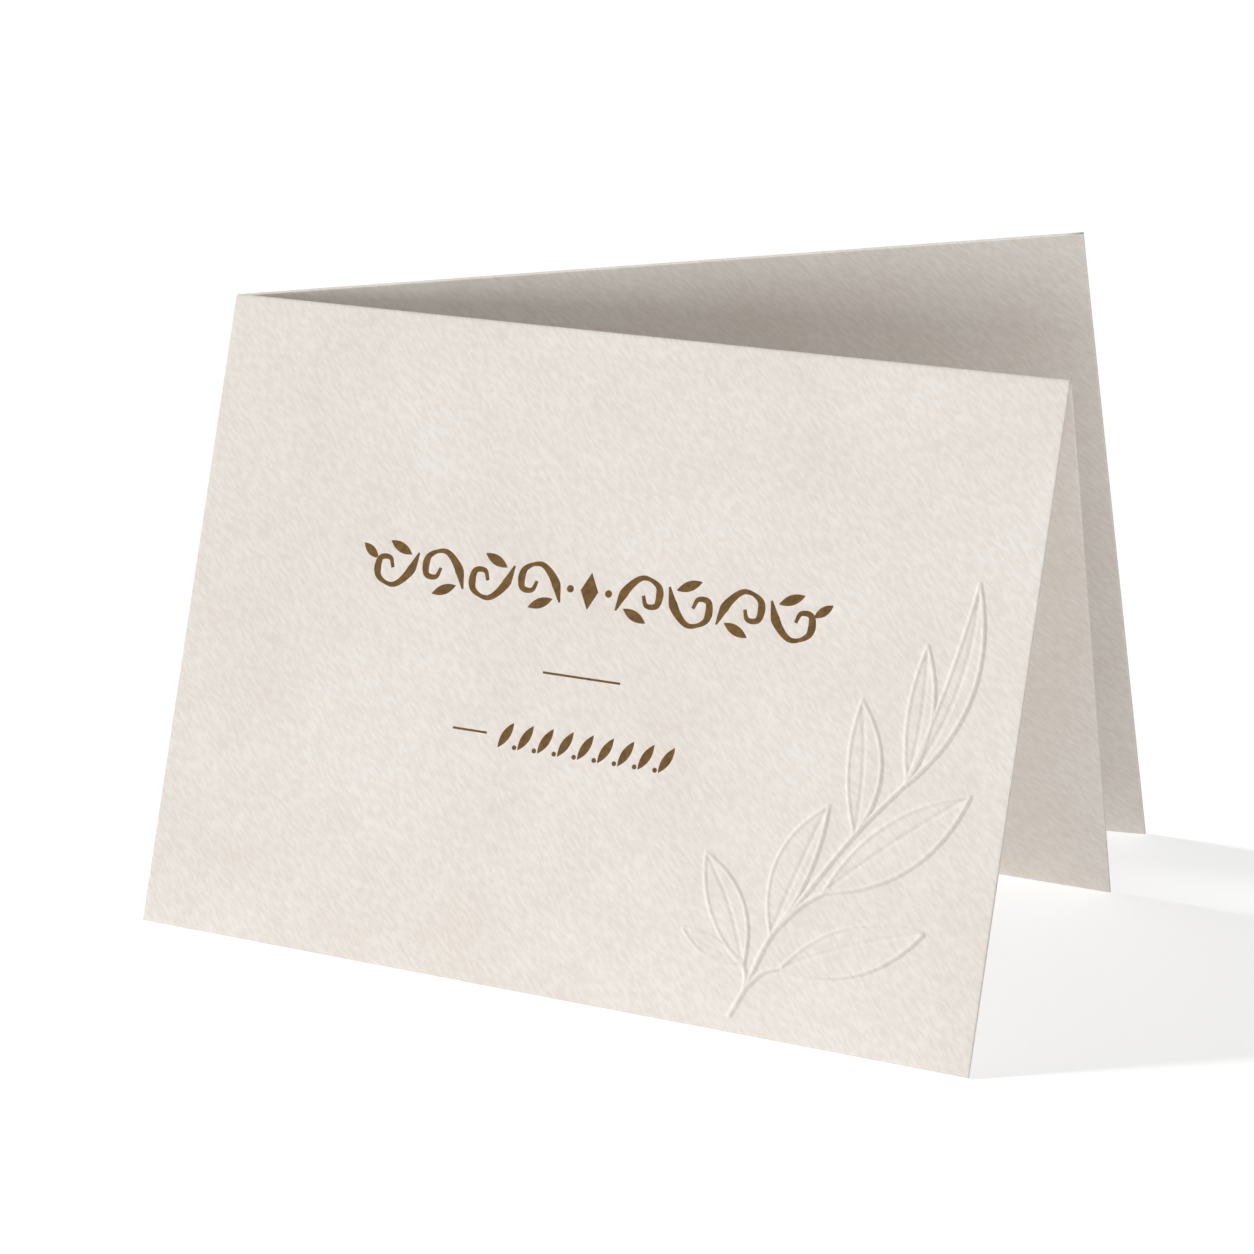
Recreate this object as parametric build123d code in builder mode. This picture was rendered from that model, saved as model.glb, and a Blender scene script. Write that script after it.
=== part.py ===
"""Three-leaf greeting card of heavy cotton paper, standing open on a table.

One sheet, folded twice. The front panel and the second panel meet at the top fold and
stand as a tent. The third leaf is joined to the second panel at the left side fold, and
swings out behind it. The front panel carries a raised botanical sprig.

Millimetres, +Z up. X runs along the top fold, and the front panel faces -Y.
"""

from math import cos, radians, sin
import os

from build123d import *

# --- the sheet ---------------------------------------------------------------------
panel_width = 177.8  # along the top fold: a 7 in card
panel_height = 130.2  # down each panel, over the fold at mid-thickness: 5 1/8 in
sheet_thickness = 0.8  # heavy cotton stock
fold_inner_radius = 0.2  # inside of each scored fold
lean_angle = 21.2  # of both tent panels from upright, degrees

# --- the third leaf ----------------------------------------------------------------
leaf_opening = 10.0  # between the second panel and the third leaf, degrees
leaf_head_setback = 3.8  # how much shorter its top edge is than the panels
leaf_head_flare = 4.2  # rise of the top edge off square to the side fold, degrees

# --- the raised sprig, on the front panel -------------------------------------------
relief_height = 0.35
root_from_right = 48.1  # foot of the stem, in from the right edge of the panel
root_from_foot = 3.3  # foot of the stem, up from the foot of the panel
stem_width = 0.9
twig_width = 0.7
# Places are (right of the stem's foot, up from it), on the face of the panel.
stem_route = [(0, 0), (2.3, 5.6), (5.7, 15.6), (10.9, 24), (19.3, 37.4), (28.6, 49.4)]
twig_routes = [
    [(2.2, 5.2), (2, 8.2), (0.7, 10.8)],
    [(2.5, 5.8), (5.3, 9), (9.1, 10.6)],
    [(6.9, 17.8), (11.1, 22.8), (16.2, 26.6)],
]
# Each sprig leaf: its base, its tip, and how far its left and right sides bulge from
# the straight line between them, seen from base to tip.
sprig_leaves = [
    ((0.7, 10.3), (-11.8, 14.6), 2.2, 1.4),
    ((1.2, 9.6), (-9.4, 29.7), 2.8, 4.0),
    ((5.9, 16.3), (13.6, 42.2), 5.0, 1.9),
    ((19.5, 37.6), (17.2, 62.8), 2.0, 4.4),
    ((28.2, 49), (28.4, 74.6), 1.8, 3.0),
    ((27.9, 48.3), (36.7, 87.4), -0.8, 6.0),
    ((15.1, 25.9), (40.7, 48), 4.2, 5.0),
    ((8.7, 10.4), (35.5, 21.4), 4.4, 4.4),
]
cubic_bulge = 3 / 4  # how far a cubic reaches towards its two inner control points

# --- sizes that follow --------------------------------------------------------------
fold_outer_radius = fold_inner_radius + sheet_thickness
fold_mid_radius = fold_inner_radius + sheet_thickness / 2
lean_cos = cos(radians(lean_angle))
lean_sin = sin(radians(lean_angle))
top_fold_sweep = 180 - 2 * lean_angle
side_fold_sweep = 180 - leaf_opening
# A panel is flat below its own half of the rounded top fold.
flat_height = panel_height - fold_mid_radius * radians(top_fold_sweep / 2)
# The tent stands on the inner corners of its two cut feet.
fold_axis_z = flat_height * lean_cos - fold_inner_radius * lean_sin
front_face_angle = 180 - lean_angle  # outward normal of the front panel, from +Y to +Z
second_face_angle = lean_angle  # outward normal of the second panel

front_normal = Vector(0, -lean_cos, lean_sin)
second_normal = Vector(0, lean_cos, lean_sin)
up_second = Vector(0, -lean_sin, lean_cos)  # up the slope of the second panel
fold_axis = Vector(0, 0, fold_axis_z)

# Outer faces of the two tent panels: y up the slope, 0 where the top fold begins.
front_face = Plane(
    origin=fold_axis + front_normal * fold_outer_radius, x_dir=(1, 0, 0), z_dir=front_normal
)
second_face = Plane(
    origin=fold_axis + second_normal * fold_outer_radius, x_dir=(-1, 0, 0), z_dir=second_normal
)

# --- tent: front panel, top fold and second panel ------------------------------------
with BuildPart() as tent:
    with BuildSketch(Plane.YZ):
        with BuildLine():
            outside = CenterArc((0, fold_axis_z), fold_outer_radius, second_face_angle, top_fold_sweep)
            inside = CenterArc((0, fold_axis_z), fold_inner_radius, second_face_angle, top_fold_sweep)
            second_outside = PolarLine(outside @ 0, flat_height, second_face_angle - 90)
            second_inside = PolarLine(inside @ 0, flat_height, second_face_angle - 90)
            front_outside = PolarLine(outside @ 1, flat_height, front_face_angle + 90)
            front_inside = PolarLine(inside @ 1, flat_height, front_face_angle + 90)
            Line(second_outside @ 1, second_inside @ 1)
            Line(front_outside @ 1, front_inside @ 1)
        make_face()
    extrude(amount=panel_width)
    # The left edge of the second panel gives way to the side fold.
    with BuildSketch(second_face):
        Rectangle(fold_outer_radius, flat_height, align=(Align.MAX, Align.MAX))
    extrude(amount=-sheet_thickness, mode=Mode.SUBTRACT)

# --- leaf: the side fold and the third leaf -----------------------------------------
# The side fold's axis stands off the back of the second panel by the inner radius.
side_fold_top = second_face.origin + second_normal * fold_inner_radius + Vector(fold_outer_radius, 0, 0)
side_section = Plane(origin=side_fold_top, x_dir=(1, 0, 0), z_dir=up_second)
opening = radians(leaf_opening)
leaf_across = Vector(1, 0, 0) * cos(opening) + second_normal * sin(opening)
leaf_back = second_normal * cos(opening) - Vector(1, 0, 0) * sin(opening)
# Face of the third leaf that looks at the second panel: x out from the fold, y up.
leaf_face = Plane(
    origin=side_fold_top + leaf_back * fold_inner_radius, x_dir=leaf_across, z_dir=leaf_back * -1
)
head_end = Vector(panel_width - leaf_head_setback, 0).rotate(Axis.Z, leaf_head_flare)
# The foot runs as far as the panels are wide, and its free corner reaches the table.
foot_corner_y = -(leaf_face.origin.Z + panel_width * leaf_across.Z) / lean_cos

with BuildPart() as leaf:
    with BuildSketch(side_section):
        with BuildLine():
            bend_inside = CenterArc((0, 0), fold_inner_radius, 90 + leaf_opening, side_fold_sweep)
            bend_outside = CenterArc((0, 0), fold_outer_radius, 90 + leaf_opening, side_fold_sweep)
            Line(bend_inside @ 0, bend_outside @ 0)
            Line(bend_inside @ 1, bend_outside @ 1)
        make_face()
    extrude(amount=-flat_height)
    with BuildSketch(leaf_face):
        with BuildLine():
            Polyline(
                (0, 0),
                (head_end.X, head_end.Y),
                (panel_width, foot_corner_y),
                (0, -flat_height),
                close=True,
            )
        make_face()
    extrude(amount=-sheet_thickness)


# --- sprig: raised on the outer face of the front panel -------------------------------
def leaf_side(base, tip, bulge):
    """Curve from base to tip, bulging to the left of that line, or right when negative."""
    along = tip - base
    sideways = along.rotate(Axis.Z, 90).normalized() * (bulge / cubic_bulge)
    return Bezier(base, base + along / 3 + sideways, base + along * 2 / 3 + sideways, tip)


root_place = (panel_width - root_from_right, root_from_foot - flat_height)
sprig_face = Plane(
    origin=front_face.from_local_coords(root_place), x_dir=(1, 0, 0), z_dir=front_normal
)

with BuildPart() as sprig:
    with BuildSketch(sprig_face):
        with BuildLine():
            Spline(*stem_route)
        trace(line_width=stem_width)
        for route in twig_routes:
            with BuildLine():
                Spline(*route)
            trace(line_width=twig_width)
        for base, tip, left_bulge, right_bulge in sprig_leaves:
            with BuildLine():
                leaf_side(Vector(*base), Vector(*tip), left_bulge)
                leaf_side(Vector(*base), Vector(*tip), -right_bulge)
            make_face()
    extrude(amount=relief_height)

# --- the whole sheet, with its origin under the centre of its box ---------------------
with BuildPart() as sheet:
    add(tent.part)
    add(leaf.part)
    add(sprig.part)

box = sheet.part.bounding_box()
with BuildPart() as card:
    with Locations((-box.center().X, -box.center().Y, -box.min.Z)):
        add(sheet.part)
card.part.label = "card"

os.makedirs("parts", exist_ok=True)
export_step(card.part, "parts/card.step")
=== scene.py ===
"""Looks of the three-leaf greeting card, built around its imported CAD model.

One mesh stands for the whole folded sheet. Its front panel is a fine triangulation whose
lines follow the raised sprig and the pressed ornament, so both are real relief.
Lengths are in millimetres, and MM turns them into metres for Blender.
"""

from math import ceil, cos, pi, radians, sin

import bmesh
import bpy
import numpy as np
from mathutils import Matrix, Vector
from mathutils.geometry import delaunay_2d_cdt


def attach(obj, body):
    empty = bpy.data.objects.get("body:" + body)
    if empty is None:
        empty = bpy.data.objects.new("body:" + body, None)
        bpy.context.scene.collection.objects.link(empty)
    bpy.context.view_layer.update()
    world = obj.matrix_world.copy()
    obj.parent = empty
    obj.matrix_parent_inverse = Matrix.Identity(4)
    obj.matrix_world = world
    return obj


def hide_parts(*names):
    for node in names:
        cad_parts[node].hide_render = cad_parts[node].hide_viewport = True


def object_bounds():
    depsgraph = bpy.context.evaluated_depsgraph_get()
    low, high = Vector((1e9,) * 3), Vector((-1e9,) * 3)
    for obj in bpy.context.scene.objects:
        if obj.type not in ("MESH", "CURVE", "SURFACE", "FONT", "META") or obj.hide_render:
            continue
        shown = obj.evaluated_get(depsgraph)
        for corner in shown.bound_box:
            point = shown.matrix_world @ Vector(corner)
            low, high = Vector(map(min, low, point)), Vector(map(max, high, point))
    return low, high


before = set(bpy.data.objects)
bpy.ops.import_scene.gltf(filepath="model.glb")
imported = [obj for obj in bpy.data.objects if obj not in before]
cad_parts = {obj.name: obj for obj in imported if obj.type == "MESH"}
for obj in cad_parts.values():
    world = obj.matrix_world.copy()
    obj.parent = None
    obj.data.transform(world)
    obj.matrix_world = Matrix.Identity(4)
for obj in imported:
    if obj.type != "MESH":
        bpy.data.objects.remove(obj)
cad_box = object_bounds()
MM = 0.001

# --- the sheet, as the CAD model has it ------------------------------------------------
panel_width = 177.8
panel_height = 130.2
sheet_thickness = 0.8
fold_inner_radius = 0.2
lean_angle = 21.2
leaf_opening = 10.0
leaf_head_setback = 3.8
leaf_head_flare = 4.2

# --- the raised sprig: places right of the stem's foot and up from it -------------------
root_from_right = 48.1
root_from_foot = 3.3
stem_route = [(0, 0), (2.3, 5.6), (5.7, 15.6), (10.9, 24), (19.3, 37.4), (28.6, 49.4)]
twig_routes = [
    [(2.2, 5.2), (2, 8.2), (0.7, 10.8)],
    [(2.5, 5.8), (5.3, 9), (9.1, 10.6)],
    [(6.9, 17.8), (11.1, 22.8), (16.2, 26.6)],
]
# Base, tip, left bulge, right bulge, and the midrib's own bulge to the left.
sprig_leaves = [
    ((0.7, 10.3), (-11.8, 14.6), 2.2, 1.4, 0.3),
    ((1.2, 9.6), (-9.4, 29.7), 2.8, 4.0, -1.2),
    ((5.9, 16.3), (13.6, 42.2), 5.0, 1.9, 0.3),
    ((19.5, 37.6), (17.2, 62.8), 2.0, 4.4, -1.0),
    ((28.2, 49), (28.4, 74.6), 1.8, 3.0, -0.9),
    ((27.9, 48.3), (36.7, 87.4), -0.8, 6.0, -3.2),
    ((15.1, 25.9), (40.7, 48), 4.2, 5.0, 0.6),
    ((8.7, 10.4), (35.5, 21.4), 4.4, 4.4, 0.9),
]
rim_height = 0.34
rim_inner_width = 0.8
rim_outer_width = 0.6
leaf_swell = 0.2
midrib_depth = 0.16
midrib_width = 0.32
stem_half_width = 0.36
leaf_reach = 2  # how far round a leaf its relief is worked out
pillow_share, pillow_width = 0.3, 2.5  # how a leaf's swell still grows inwards
midrib_fade = 0.08  # share of the midrib over which it starts and ends

# --- sizes that follow --------------------------------------------------------------
fold_outer_radius = fold_inner_radius + sheet_thickness
fold_mid_radius = fold_inner_radius + sheet_thickness / 2
lean = radians(lean_angle)
opening = radians(leaf_opening)
flat_height = panel_height - fold_mid_radius * (pi / 2 - lean)
fold_axis_z = flat_height * cos(lean) - fold_inner_radius * sin(lean)
front_normal = Vector((0, -cos(lean), sin(lean)))
second_normal = Vector((0, cos(lean), sin(lean)))
up_front = Vector((0, sin(lean), cos(lean)))
up_second = Vector((0, -sin(lean), cos(lean)))
across = Vector((1, 0, 0))
fold_axis = Vector((0, 0, fold_axis_z))
front_origin = fold_axis + front_normal * fold_outer_radius
second_origin = fold_axis + second_normal * fold_outer_radius
side_fold_top = second_origin + second_normal * fold_inner_radius + across * fold_outer_radius
leaf_across = across * cos(opening) + second_normal * sin(opening)
leaf_back = second_normal * cos(opening) - across * sin(opening)
leaf_origin = side_fold_top + leaf_back * fold_inner_radius
head_length, head_rise = panel_width - leaf_head_setback, radians(leaf_head_flare)
head_end = Vector((head_length * cos(head_rise), head_length * sin(head_rise)))
foot_drop = (leaf_origin.z + panel_width * leaf_across.z) / cos(lean)
foot_corner = Vector((panel_width, -foot_drop))
front_foot_y = (front_origin - up_front * flat_height).y
frame_shift = np.array([-panel_width / 2, cad_box[0][1] / MM - front_foot_y, 0])


# --- plane curves -------------------------------------------------------------------
def smooth_route(points, spacing=0.4):
    """Points along a Catmull-Rom curve through the given ones."""
    route = np.array(points, float)
    padded = np.vstack([2 * route[0] - route[1], route, 2 * route[-1] - route[-2]])
    line = []
    for i in range(1, len(padded) - 2):
        a, b, c, d = padded[i - 1 : i + 3]
        steps = max(2, ceil(np.linalg.norm(c - b) / spacing))
        for t in np.arange(steps) / steps:
            square, cube = 2 * a - 5 * b + 4 * c - d, 3 * b - a - 3 * c + d
            line.append(0.5 * (2 * b + (c - a) * t + square * t**2 + cube * t**3))
    line.append(route[-1])
    return np.array(line)


def bulged_line(base, tip, bulge, spacing=0.4):
    """Points of a cubic from base to tip that bulges to the left, or right when negative."""
    base, tip = np.array(base, float), np.array(tip, float)
    along = tip - base
    length = np.linalg.norm(along)
    sideways = np.array([-along[1], along[0]]) / length * (bulge / 0.75)
    t = np.linspace(0, 1, max(4, ceil(length / spacing) + 1))[:, None]
    inner_a, inner_b = base + along / 3 + sideways, base + along * 2 / 3 + sideways
    ends = (1 - t) ** 3 * base + t**3 * tip
    return ends + 3 * (1 - t) ** 2 * t * inner_a + 3 * (1 - t) * t**2 * inner_b


def distance_to_line(points, line):
    """Distance from each point to a polyline, and where along it (0 to 1) that falls."""
    starts, ends = line[:-1], line[1:]
    step = ends - starts
    length2 = np.maximum((step**2).sum(1), 1e-12)
    rel = points[:, None, :] - starts[None]
    t = np.clip((rel * step[None]).sum(2) / length2, 0, 1)
    gap = np.linalg.norm(rel - t[..., None] * step[None], axis=2)
    nearest = gap.argmin(1)
    rows = np.arange(len(points))
    return gap[rows, nearest], (nearest + t[rows, nearest]) / len(starts)


def inside(points, outline):
    """Which points lie inside a closed outline."""
    x, y = points[:, 0], points[:, 1]
    result = np.zeros(len(points), bool)
    for (ax, ay), (bx, by) in zip(outline, np.roll(outline, -1, axis=0)):
        crosses = (ay > y) != (by > y)
        slope_x = ax + (y - ay) * (bx - ax) / (by - ay if by != ay else 1e-12)
        result ^= crosses & (x < slope_x)
    return result


def near_line(points, line, reach):
    """Which points lie in the box round a line, grown by reach."""
    return np.all((points > line.min(0) - reach) & (points < line.max(0) + reach), axis=1)


# --- the sprig's relief -----------------------------------------------------------------
root = np.array([panel_width - root_from_right, root_from_foot - flat_height])
stem_lines = [smooth_route(route) + root for route in [stem_route] + twig_routes]
leaf_lines = []
for leaf_base, leaf_tip, left, right, rib in sprig_leaves:
    left_side = bulged_line(leaf_base, leaf_tip, left) + root
    right_side = bulged_line(leaf_base, leaf_tip, -right) + root
    midrib = bulged_line(leaf_base, leaf_tip, rib) + root
    leaf_lines.append((left_side, right_side, midrib))


def bump(gap, width):
    """A smooth ridge, 1 at its middle and 0 from width outwards."""
    t = np.clip(gap / width, 0, 1)
    return (1 - t * t) ** 2


def sprig_height(points):
    """Height of the raised sprig over the panel's face."""
    height = np.zeros(len(points))
    for line in stem_lines:
        gap, along = distance_to_line(points, line)
        taper = 0.75 + 0.25 * (1 - along)
        height = np.maximum(height, rim_height * bump(gap, 2.1 * stem_half_width * taper))
    for left_side, right_side, midrib in leaf_lines:
        outline = np.vstack([left_side, right_side[::-1][1:-1]])
        near = near_line(points, outline, leaf_reach)
        some = points[near]
        left_gap, _ = distance_to_line(some, left_side)
        right_gap, _ = distance_to_line(some, right_side)
        edge_gap = np.minimum(left_gap, right_gap)
        rib_gap, along = distance_to_line(some, midrib)
        within = inside(some, outline)
        rim_width = np.where(within, rim_inner_width, rim_outer_width)
        rim = rim_height * bump(edge_gap, rim_width)
        grown = np.minimum(edge_gap / pillow_width, 1)
        pillow = leaf_swell * (1 - pillow_share + pillow_share * grown) * within
        fade = np.clip(np.minimum(along, 1 - along) / midrib_fade, 0, 1)
        groove = midrib_depth * bump(rib_gap, 2 * midrib_width) * within * fade
        height[near] = np.maximum(height[near], np.maximum(rim, pillow) - groove)
    return height


# --- the pressed ornament: places right of the panel's left edge and down from its top ---
ornament_depth = 0.14
rule_width = 0.45
title_middle = (88.2, 50.0)
rule_middle = (89.2, 67.0)
line_middle = (87.6, 80.6)


def tapered_stroke(route, widths, spacing=0.35):
    """Outline and spine of a pen stroke along a route, as wide as widths says along it."""
    line = smooth_route(route, spacing)
    step = np.gradient(line, axis=0)
    normal = np.stack([-step[:, 1], step[:, 0]], 1) / np.linalg.norm(step, axis=1)[:, None]
    t = np.linspace(0, 1, len(line))
    half = np.interp(t, np.linspace(0, 1, len(widths)), widths)[:, None] / 2
    return np.vstack([line + normal * half, (line - normal * half)[::-1]]), line[1:-1]


def almond(middle, length, width, angle):
    """Outline and spine of a small leaf shape."""
    turn = np.array([cos(radians(angle)), sin(radians(angle))])
    base, tip = np.array(middle) - turn * length / 2, np.array(middle) + turn * length / 2
    upper = bulged_line(base, tip, width / 2, 0.3)
    lower = bulged_line(base, tip, -width / 2, 0.3)
    return np.vstack([upper, lower[::-1][1:-1]]), bulged_line(base, tip, 0, 0.4)[1:-1]


def diamond(middle, width, height):
    """Outline and spine of a lozenge."""
    half = np.array([[width / 2, 0], [0, height / 2], [-width / 2, 0], [0, -height / 2]])
    return np.array(middle) + half, np.array([middle], float)


def disc(middle, radius, points=16):
    """Outline and spine of a dot."""
    turn = np.arange(points) * 2 * pi / points
    rim = np.stack([np.cos(turn), np.sin(turn)], 1) * radius
    return np.array(middle) + rim, np.array([middle], float)


def bar(middle, length, width=rule_width):
    """Outline and spine of a plain rule."""
    x, y = length / 2, width / 2
    spine = np.stack([np.linspace(-x + y, x - y, 24), np.zeros(24)], 1)
    corners = np.array([[-x, -y], [x, -y], [x, y], [-x, y]])
    return np.array(middle) + corners, np.array(middle) + spine


def mirrored(shape):
    """The same shape on the other side of x = 0."""
    outline, spine = shape
    return outline[::-1] * np.array([-1, 1]), spine * np.array([-1, 1])


def scroll_band():
    """A band of running leafy scrolls, the same on both sides of a middle lozenge."""
    first_unit, unit, units = 6.0, 10.6, 4
    wave = [(0, -3.0), (1.7, 1.2), (4.9, 4.0), (8.4, 2.6), (8.5, -0.9), (6.3, -1.3), (5.4, 0.6)]
    wave_widths = [0.4, 1.9, 1.3, 0.8, 1.6, 1.1, 0.7]
    one_side = [disc((4.1, 0), 0.75)]
    for i in range(units):
        x = first_unit + i * unit
        side = 1 if i % 2 == 0 else -1
        one_side.append(tapered_stroke([(x + wx, wy * side) for wx, wy in wave], wave_widths))
        one_side.append(almond((x + 4.1, -3.6 * side), 5.6, 2.0, -24 * side))
    one_side.append(almond((48.5, 2.2), 4.6, 1.8, 38))
    shapes = [diamond((0, 0), 3.8, 7.4)]
    for shape in one_side:
        shapes += [shape, mirrored(shape)]
    return shapes


def bead_line():
    """A short row of slanted leaves with dots between them, behind a dash."""
    first_leaf, spacing, leaves = -12.6, 4.3, 9
    shapes = [bar((-20.5, 0.2), 7.5)]
    for i in range(leaves):
        x = first_leaf + i * spacing
        shapes.append(almond((x, 0.3), 6.0, 1.8, 62))
        if i < leaves - 1:
            shapes.append(disc((x + spacing / 2, -1.9), 0.5, 12))
    return shapes


def placed(shapes, middle):
    """The shapes moved to their place on the front panel."""
    move = np.array([middle[0], -middle[1]])
    return [(outline + move, spine + move) for outline, spine in shapes]


ornament = placed(scroll_band(), title_middle)
ornament += placed([bar((0, 0), 16.6)], rule_middle)
ornament += placed(bead_line(), line_middle)


# --- mesh building ------------------------------------------------------------------
class SheetMesh:
    """Vertices and faces of the sheet, in millimetres, with a material number a face."""

    def __init__(self):
        self.points, self.faces, self.materials = [], [], []

    def add(self, points, faces, material=0, flip=False):
        """Adds faces, each a tuple of numbers into points."""
        start = len(self.points)
        self.points += [tuple(p) for p in points]
        for face in faces:
            ids = [start + i for i in face]
            self.faces.append(ids[::-1] if flip else ids)
        materials = material if isinstance(material, list) else [material] * len(faces)
        self.materials += materials

    def grid(self, rows, flip=False):
        """Adds a grid of quads from rows of points of one length."""
        count = len(rows[0])
        points = [p for row in rows for p in row]
        faces = [
            (r * count + c, r * count + c + 1, (r + 1) * count + c + 1, (r + 1) * count + c)
            for r in range(len(rows) - 1)
            for c in range(count - 1)
        ]
        self.add(points, faces, flip=flip)


edge_round = 0.16  # softened cut edge
rim_inset = 0.6  # where the faces inside the softened edge begin
quarter_turn = [radians(angle) for angle in (0, 30, 60, 90)]
panel_columns, panel_rows = 64, 46
leaf_columns, leaf_rows = 60, 46
top_fold_steps, side_fold_steps = 10, 12
side_give, side_give_drop = 12, 1.5  # where the second panel's left edge makes way

# How finely the front face is cut up.
border_gap = 2.0  # kept clear at the left edge and foot, half of it at the others
coarse_spacing, coarse_jitter = 2.2, 0.4
outline_gap = 0.4  # kept clear round the ornament
fine_spacing = 0.2
fine_reach = 1.0  # every fine point this near to a line of the sprig is kept
sparse_reach, sparse_step = 3.0, 3  # and every third one this near
sprig_box = np.array([[-14.5, -2.0], [44.0, 90.0]])  # round the sprig, from its root
sprig_margin = 1.2  # kept clear at the panel's right edge
merge_gap = 1e-4


def from_edge(low, high, steps, start_cut=True, end_cut=True):
    """Even places from low to high, held in by rim_inset where the sheet is cut."""
    first = low + rim_inset if start_cut else low
    last = high - rim_inset if end_cut else high
    return list(np.linspace(first, last, steps + 1))


# The tent in sheet coordinates: x along the folds, s from the front foot over the top fold.
top_arc = fold_mid_radius * (pi - 2 * lean)
tent_length = 2 * flat_height + top_arc
tent_x = from_edge(0, panel_width, panel_columns)
front_s = from_edge(0, flat_height, panel_rows, end_cut=False)
fold_s = list(flat_height + top_arc * np.arange(1, top_fold_steps + 1) / top_fold_steps)
second_s = from_edge(flat_height + top_arc, tent_length, panel_rows, start_cut=False)[1:]


def tent_place(x, s, z):
    """Point of the tent, z out of its outer face."""
    if s <= flat_height:
        return front_origin + across * x + up_front * (s - flat_height) + front_normal * z
    if s <= flat_height + top_arc:
        angle = pi - lean - (s - flat_height) / fold_mid_radius
        radius = fold_outer_radius + z
        return fold_axis + across * x + Vector((0, cos(angle), sin(angle))) * radius
    down = s - flat_height - top_arc
    # The left edge gives way to the side fold.
    give = fold_outer_radius * max(0.0, 1 - x / side_give) * min(1.0, down / side_give_drop)
    return second_origin + across * (x + give) - up_second * down + second_normal * z


# The third leaf in sheet coordinates: u out from the side fold, v up its slope.
side_arc = fold_mid_radius * (pi - opening)
tuck = 0.9  # how far the side fold's strip is let into the second panel
tuck_inset = 0.03  # how far that strip stays inside the panel's faces
bend_steps = np.arange(side_fold_steps + 1) / side_fold_steps
bend_u = [-side_arc - tuck] + list(-side_arc * (1 - bend_steps))
leaf_p = list(np.linspace(0, 1, leaf_columns + 1))[1:]
leaf_q = list(np.linspace(0, 1, leaf_rows + 1))


def leaf_place(u, v, z):
    """Point of the third leaf, z out of the face that looks at the second panel."""
    depth = -z
    if u >= 0:
        return leaf_origin + leaf_across * u + up_second * v + leaf_back * depth
    if u >= -side_arc:
        angle = pi / 2 + opening - u / fold_mid_radius
        radial = across * cos(angle) + second_normal * sin(angle)
        return side_fold_top + radial * (fold_inner_radius + depth) + up_second * v
    depth = min(max(depth, tuck_inset), sheet_thickness - tuck_inset)
    inwards = across * (fold_outer_radius - u - side_arc)
    return second_origin + inwards + up_second * v - second_normal * depth


def leaf_outline(p, q):
    """Flat place (u, v) for p out from the fold and q up from the foot, both 0 to 1."""
    free_foot = foot_corner + Vector((-rim_inset, rim_inset))
    free_head = head_end + Vector((-rim_inset, -rim_inset))
    foot = Vector((0, -flat_height + rim_inset)).lerp(free_foot, p)
    head = Vector((0, -rim_inset)).lerp(free_head, p)
    return foot.lerp(head, q)


def edge_profile(inset):
    """(outwards, z) steps round a softened cut edge, from the outer face to the inner one."""
    steps, back = [(0, 0.0)], -(sheet_thickness - edge_round)
    for a in quarter_turn:
        steps.append((inset - edge_round * (1 - sin(a)), -edge_round * (1 - cos(a))))
    for a in quarter_turn:
        steps.append((inset - edge_round * (1 - cos(a)), back - edge_round * sin(a)))
    return steps + [(0, -sheet_thickness)]


def add_edges(mesh, ring, place):
    """Softened edges round a ring of (x, y, outwards x, outwards y)."""
    rows = []
    for out, z in edge_profile(rim_inset):
        row = [place(x + ox * out, y + oy * out, z) for x, y, ox, oy in ring]
        rows.append(row + [row[0]])
    mesh.grid(rows, flip=True)


def rectangle_ring(columns, rows):
    """Anticlockwise ring round a grid, each point with its outward direction."""
    ring = []
    for i, x in enumerate(columns[:-1]):
        ring.append((x, rows[0], -1 if i == 0 else 0, -1))
    for i, y in enumerate(rows[:-1]):
        ring.append((columns[-1], y, 1, -1 if i == 0 else 0))
    for i, x in enumerate(columns[:0:-1]):
        ring.append((x, rows[-1], 1 if i == 0 else 0, 1))
    for i, y in enumerate(rows[:0:-1]):
        ring.append((columns[0], y, -1, 1 if i == 0 else 0))
    return ring


def closed_edges(start, count):
    """Edges that join count points, numbered from start, into a closed line."""
    return [(start + i, start + (i + 1) % count) for i in range(count)]


def grid_points(columns, rows):
    """Every place on a grid, as rows of (x, y)."""
    x, y = np.meshgrid(columns, rows)
    return np.stack([x.ravel(), y.ravel()], 1)


def coarse_points():
    """Loose points over the front panel, clear of its border and of the ornament."""
    rng = np.random.default_rng(7)
    columns = np.arange(border_gap, panel_width - border_gap / 2, coarse_spacing)
    rows = np.arange(-flat_height + border_gap, -border_gap / 2, coarse_spacing)
    points = grid_points(columns, rows)
    points = points + rng.uniform(-coarse_jitter, coarse_jitter, points.shape)
    free = np.ones(len(points), bool)
    for outline, _ in ornament:
        box = near_line(points, outline, outline_gap)
        closed = np.vstack([outline, outline[:1]])
        free[box] &= distance_to_line(points[box], closed)[0] > outline_gap
        free[box] &= ~inside(points[box], outline)
    return points[free]


def sprig_points():
    """Close points along the sprig's lines, which thin out away from them."""
    low, high = root + sprig_box
    right = min(high[0], panel_width - sprig_margin)
    columns = np.arange(low[0], right, fine_spacing)
    points = grid_points(columns, np.arange(low[1], high[1], fine_spacing))
    gap = np.full(len(points), np.inf)
    for line in stem_lines + [line for lines in leaf_lines for line in lines]:
        close = near_line(points, line, sparse_reach)
        gap[close] = np.minimum(gap[close], distance_to_line(points[close], line)[0])
    number = np.round((points - low) / fine_spacing).astype(int)
    sparse = (number % sparse_step == 0).all(1)
    return points[(gap < fine_reach) | ((gap < sparse_reach) & sparse)]


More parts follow.
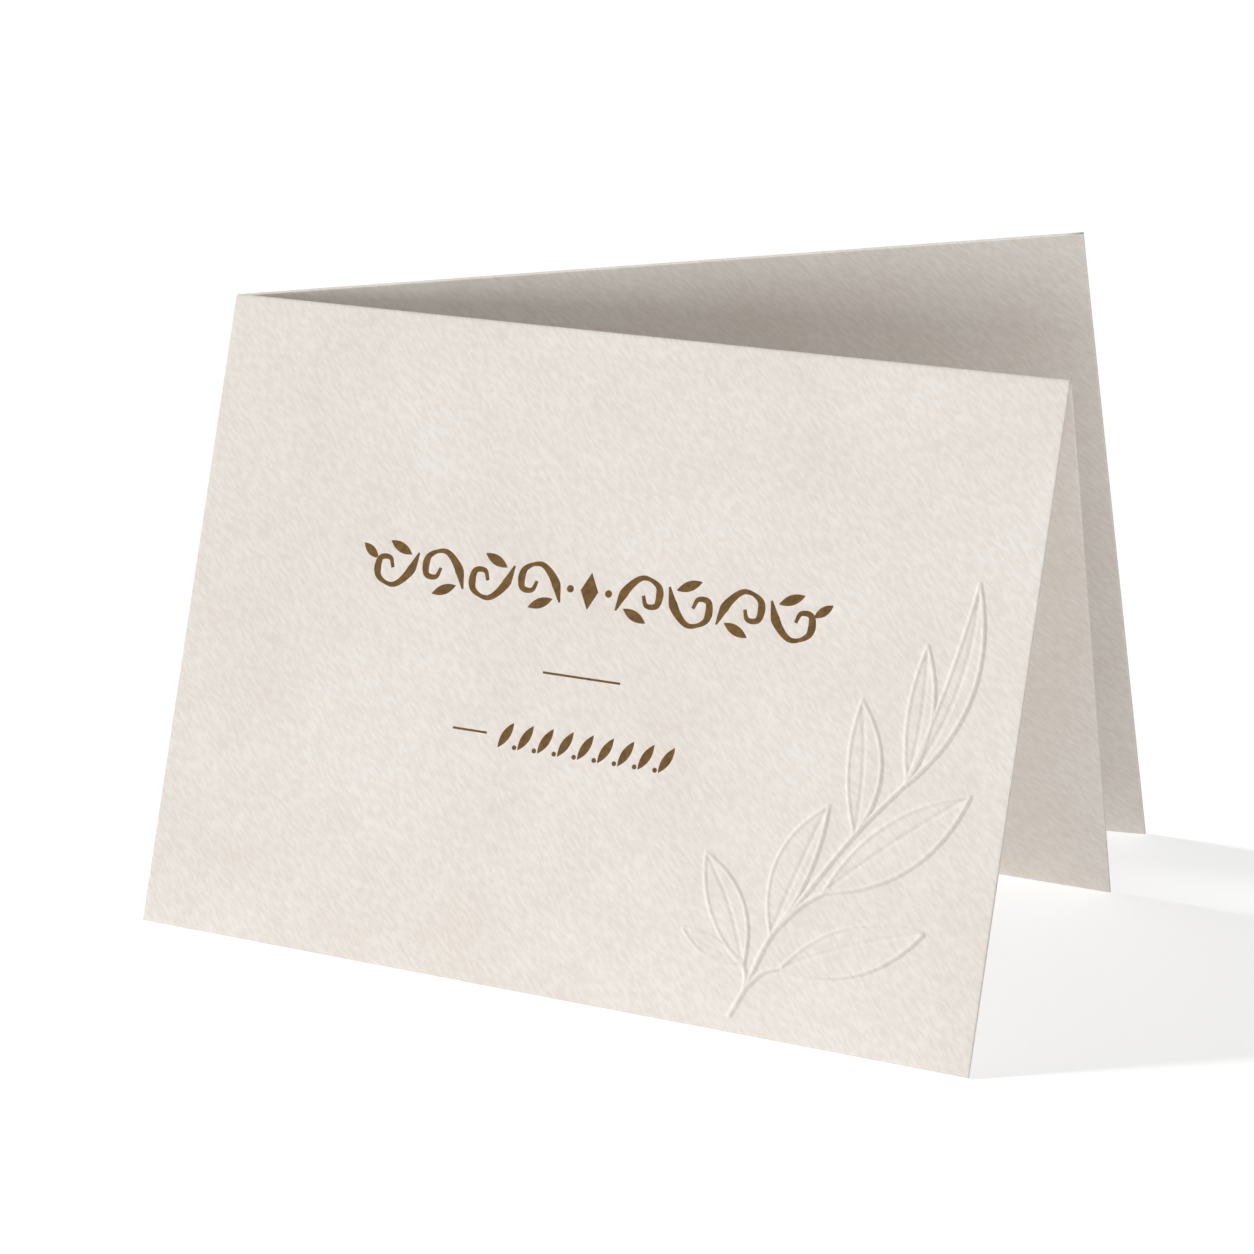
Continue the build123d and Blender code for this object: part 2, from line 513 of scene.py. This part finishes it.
def front_triangles():
    """Places, triangles, heights and printed triangles of the front panel's face."""
    rows = [s - flat_height for s in front_s]
    border = np.array([(x, y) for x, y, _, _ in rectangle_ring(tent_x, rows)])
    sets, edges, total = [border], closed_edges(0, len(border)), len(border)
    spine_numbers = set()
    for outline, spine in ornament:
        edges += closed_edges(total, len(outline))
        total += len(outline) + len(spine)
        spine_numbers.update(range(total - len(spine), total))
        sets += [outline, spine]
    sets += [coarse_points(), sprig_points()]
    places = [Vector(place) for place in np.vstack(sets)]
    corners, _, triangles, sources = delaunay_2d_cdt(places, edges, [], 0, merge_gap)[:4]
    flat = np.array([tuple(corner) for corner in corners])
    middles = np.array([flat[list(face)].mean(0) for face in triangles])
    printed = np.zeros(len(triangles), bool)
    for outline, _ in ornament:
        box = near_line(middles, outline, 0)
        printed[box] |= inside(middles[box], outline)
    height = sprig_height(flat)
    for i, numbers in enumerate(sources):
        if not spine_numbers.isdisjoint(numbers):
            height[i] = -ornament_depth
    return flat, triangles, height, printed


def add_both_faces(mesh, outer, inner, place):
    """The sheet's outer and inner faces over rows of flat (x, y) places."""
    mesh.grid([[place(x, y, 0) for x, y in row] for row in outer])
    mesh.grid([[place(x, y, -sheet_thickness) for x, y in row] for row in inner], flip=True)


def add_tent(mesh):
    """The front panel, the top fold and the second panel."""
    flat, triangles, height, printed = front_triangles()
    points = [tent_place(x, y + flat_height, z) for (x, y), z in zip(flat, height)]
    mesh.add(points, triangles, material=[int(p) for p in printed])
    all_s = front_s + fold_s + second_s
    rows = [[(x, s) for x in tent_x] for s in all_s]
    add_both_faces(mesh, rows[len(front_s) - 1 :], rows, tent_place)
    add_edges(mesh, rectangle_ring(tent_x, all_s), tent_place)


def add_leaf(mesh):
    """The side fold and the third leaf."""
    rows = []
    for q in leaf_q:
        fold_v = leaf_outline(0, q)[1]
        free = [tuple(leaf_outline(p, q)) for p in leaf_p]
        rows.append([(u, fold_v) for u in bend_u] + free)
    add_both_faces(mesh, rows, rows, leaf_place)
    ring = [(u, v, 0, -1) for u, v in rows[0][:-1]]
    ring += [(*row[-1], 1, -1 if i == 0 else 0) for i, row in enumerate(rows[:-1])]
    ring += [(u, v, 1 if i == 0 else 0, 1) for i, (u, v) in enumerate(rows[-1][:0:-1])]
    ring += [(*row[0], 0, 1 if i == 0 else 0) for i, row in enumerate(rows[:0:-1])]
    add_edges(mesh, ring, leaf_place)


def build_sheet():
    """The whole folded sheet as one mesh object."""
    mesh = SheetMesh()
    add_tent(mesh)
    add_leaf(mesh)
    return mesh_object("folded_sheet", mesh)


def mesh_object(name, mesh):
    """A Blender object from a SheetMesh, moved to the CAD model's frame."""
    data = bpy.data.meshes.new(name)
    places = (np.array(mesh.points) + frame_shift) * MM
    data.from_pydata(places.tolist(), [], mesh.faces)
    data.polygons.foreach_set("material_index", mesh.materials)
    data.polygons.foreach_set("use_smooth", [True] * len(data.polygons))
    data.update()
    obj = bpy.data.objects.new(name, data)
    bpy.context.scene.collection.objects.link(obj)
    weld(obj)
    return obj


weld_gap = 2e-7  # metres


def weld(obj):
    """Joins the vertices that neighbouring parts of the sheet share."""
    bm = bmesh.new()
    bm.from_mesh(obj.data)
    bmesh.ops.remove_doubles(bm, verts=bm.verts, dist=weld_gap)
    bm.to_mesh(obj.data)
    bm.free()


# --- materials, in metres -------------------------------------------------------------
felt_angle = 42.0  # of the felt marks, down to the right on the front panel
felt_stretch = 3.4  # how much longer than wide they are
felt_scale, grain_scale, cloud_scale, foil_scale = 1700, 2600, 38, 900
felt_depth, grain_depth, foil_depth = 0.0001, 0.00006, 0.00008


def srgb(red, green, blue):
    """Linear colour of 0 to 255 display values."""
    values = [c / 255 for c in (red, green, blue)]
    linear = [v / 12.92 if v <= 0.04045 else ((v + 0.055) / 1.055) ** 2.4 for v in values]
    return (*linear, 1.0)


class Nodes:
    """A material's node tree with short calls to add to it."""

    def __init__(self, name):
        self.material = bpy.data.materials.new(name)
        self.material.use_nodes = True
        self.tree = self.material.node_tree
        self.shader = self.tree.nodes["Principled BSDF"]
        self.output = self.tree.nodes["Material Output"]

    def new(self, kind, **values):
        """A node with its sockets or settings set by name."""
        node = self.tree.nodes.new(kind)
        for key, value in values.items():
            if key in node.inputs:
                node.inputs[key].default_value = value
            else:
                setattr(node, key, value)
        return node

    def link(self, source, target):
        """A link from an output to an input."""
        self.tree.links.new(source, target)

    def noise(self, vector, scale, detail, roughness):
        """Fractal noise over a vector."""
        node = self.new("ShaderNodeTexNoise", Scale=scale, Detail=detail, Roughness=roughness)
        self.link(vector, node.inputs["Vector"])
        return node.outputs["Fac"]

    def bump(self, height, strength, distance, under=None):
        """A normal bumped by a height, on top of another one if given."""
        node = self.new("ShaderNodeBump", Strength=strength, Distance=distance)
        self.link(height, node.inputs["Height"])
        if under:
            self.link(under, node.inputs["Normal"])
        return node.outputs["Normal"]

    def ramp(self, factor, low, high, low_color, high_color):
        """One colour up to low, another from high on."""
        node = self.new("ShaderNodeValToRGB")
        node.color_ramp.elements[0].position = low
        node.color_ramp.elements[0].color = low_color
        node.color_ramp.elements[1].position = high
        node.color_ramp.elements[1].color = high_color
        self.link(factor, node.inputs["Fac"])
        return node.outputs["Color"]


def felt_paper():
    """Warm off-white cotton paper with felt marks that run down to the right."""
    n = Nodes("felt_paper")
    place = n.new("ShaderNodeTexCoord").outputs["Object"]
    streak = n.new("ShaderNodeMapping", vector_type="TEXTURE")
    streak.inputs["Rotation"].default_value = (0, radians(felt_angle), 0)
    streak.inputs["Scale"].default_value = (felt_stretch, felt_stretch, 1.0)
    n.link(place, streak.inputs["Vector"])
    felt = n.noise(streak.outputs["Vector"], felt_scale, 2.0, 0.5)
    grain = n.noise(place, grain_scale, 2.0, 0.5)
    cloud = n.noise(place, cloud_scale, 4.0, 0.6)
    tone = n.ramp(felt, 0.34, 0.66, srgb(233, 226, 219), srgb(242, 237, 231))
    shade = n.ramp(cloud, 0.35, 0.65, srgb(251, 249, 247), srgb(255, 255, 255))
    mix = n.new("ShaderNodeMix", data_type="RGBA", blend_type="MULTIPLY")
    mix.inputs["Factor"].default_value = 1.0
    n.link(tone, mix.inputs["A"])
    n.link(shade, mix.inputs["B"])
    n.link(mix.outputs["Result"], n.shader.inputs["Base Color"])
    fine = n.bump(grain, 0.2, grain_depth)
    marks = n.bump(felt, 0.4, felt_depth, under=fine)
    n.link(marks, n.shader.inputs["Normal"])
    n.shader.inputs["Roughness"].default_value = 0.86
    n.shader.inputs["Specular IOR Level"].default_value = 0.25
    n.shader.inputs["Sheen Weight"].default_value = 0.06
    return n.material


def bronze_print():
    """Dark bronze foil pressed into the paper, slightly mottled."""
    n = Nodes("bronze_print")
    place = n.new("ShaderNodeTexCoord").outputs["Object"]
    mottle = n.noise(place, foil_scale, 3.0, 0.6)
    color = n.ramp(mottle, 0.3, 0.7, srgb(84, 59, 20), srgb(122, 88, 36))
    n.link(color, n.shader.inputs["Base Color"])
    n.link(n.bump(mottle, 0.25, foil_depth), n.shader.inputs["Normal"])
    n.shader.inputs["Metallic"].default_value = 0.35
    n.shader.inputs["Roughness"].default_value = 0.42
    return n.material


sheet = build_sheet()
sheet.data.materials.append(felt_paper())
sheet.data.materials.append(bronze_print())
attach(sheet, "root")
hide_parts("card")


# --- floor, light and camera ------------------------------------------------------------
floor_half = 3.0
floor_shaded, floor_glow = 0.56, 0.68  # as seen: what takes shadow and what doesn't
floor_lit, floor_lift = 0.85, 0.28  # the same for the light that it throws back
sky_strength = 0.2
sky_color = (1.0, 0.995, 0.985, 1)

camera_lens = 93.1
camera_yaw = 23.9
camera_pitch = 18.67
camera_place = (np.array([339.1, -567.1, 270.7]) + frame_shift) * MM


def viewing_ray(tree):
    """1 for rays that show the background: camera, glossy and transmission rays."""
    path = tree.nodes.new("ShaderNodeLightPath")
    shown = path.outputs["Is Camera Ray"]
    for kind in ("Is Glossy Ray", "Is Transmission Ray"):
        either = tree.nodes.new("ShaderNodeMath")
        either.operation = "MAXIMUM"
        tree.links.new(shown, either.inputs[0])
        tree.links.new(path.outputs[kind], either.inputs[1])
        shown = either.outputs[0]
    return shown


def shown_or_lit(tree, lit, shown, output):
    """One shader for the rays that show the background, another for all light."""
    mix = tree.nodes.new("ShaderNodeMixShader")
    tree.links.new(viewing_ray(tree), mix.inputs["Fac"])
    tree.links.new(lit, mix.inputs[1])
    tree.links.new(shown, mix.inputs[2])
    tree.links.new(mix.outputs[0], output.inputs["Surface"])


def glowing_white(n, albedo, glow):
    """A diffuse white with some light of its own."""
    diffuse = n.new("ShaderNodeBsdfDiffuse", Color=(albedo, albedo, albedo, 1))
    emission = n.new("ShaderNodeEmission", Strength=glow)
    both = n.new("ShaderNodeAddShader")
    n.link(diffuse.outputs[0], both.inputs[0])
    n.link(emission.outputs[0], both.inputs[1])
    return both.outputs[0]


def white_floor():
    """A wide white floor that keeps the card's soft shadow."""
    corners = [(-1, -1), (1, -1), (1, 1), (-1, 1)]
    data = bpy.data.meshes.new("floor")
    data.from_pydata([(x * floor_half, y * floor_half, 0) for x, y in corners], [], [range(4)])
    floor = bpy.data.objects.new("floor", data)
    bpy.context.scene.collection.objects.link(floor)
    n = Nodes("white_floor")
    seen = glowing_white(n, floor_shaded, floor_glow)
    lit = glowing_white(n, floor_lit, floor_lift)
    shown_or_lit(n.tree, lit, seen, n.output)
    data.materials.append(n.material)


def soft_world():
    """Even studio light from all round, and plain white where it is seen."""
    world = bpy.data.worlds.new("studio")
    bpy.context.scene.world = world
    world.use_nodes = True
    tree = world.node_tree
    light = tree.nodes["Background"]
    light.inputs["Color"].default_value = sky_color
    light.inputs["Strength"].default_value = sky_strength
    seen = tree.nodes.new("ShaderNodeBackground")
    seen.inputs["Color"].default_value = (1, 1, 1, 1)
    shown_or_lit(tree, light.outputs[0], seen.outputs[0], tree.nodes["World Output"])


def soft_sun(name, strength, softness, azimuth, elevation):
    """A soft sun; its azimuth is counted from straight in front, right being positive."""
    data = bpy.data.lights.new(name, "SUN")
    data.energy = strength
    data.angle = radians(softness)
    sun = bpy.data.objects.new(name, data)
    turn, rise = radians(azimuth), radians(elevation)
    source = Vector((sin(turn) * cos(rise), -cos(turn) * cos(rise), sin(rise)))
    sun.rotation_euler = source.to_track_quat("Z", "Y").to_euler()
    bpy.context.scene.collection.objects.link(sun)


def camera():
    """The viewing camera, right of the card and above it."""
    data = bpy.data.cameras.new("camera")
    data.sensor_width = 36
    data.lens = camera_lens
    data.clip_start, data.clip_end = 0.01, 20
    cam = bpy.data.objects.new("camera", data)
    turn, tilt = radians(camera_yaw), radians(camera_pitch)
    forward = Vector((-sin(turn) * cos(tilt), cos(turn) * cos(tilt), -sin(tilt)))
    cam.rotation_euler = (-forward).to_track_quat("Z", "Y").to_euler()
    cam.location = camera_place
    bpy.context.scene.collection.objects.link(cam)
    bpy.context.scene.camera = cam


white_floor()
soft_world()
soft_sun("key", strength=2.1, softness=6, azimuth=-72, elevation=36)
soft_sun("fill", strength=0.85, softness=12, azimuth=24, elevation=19)
camera()
bpy.context.scene.view_settings.view_transform = "Standard"
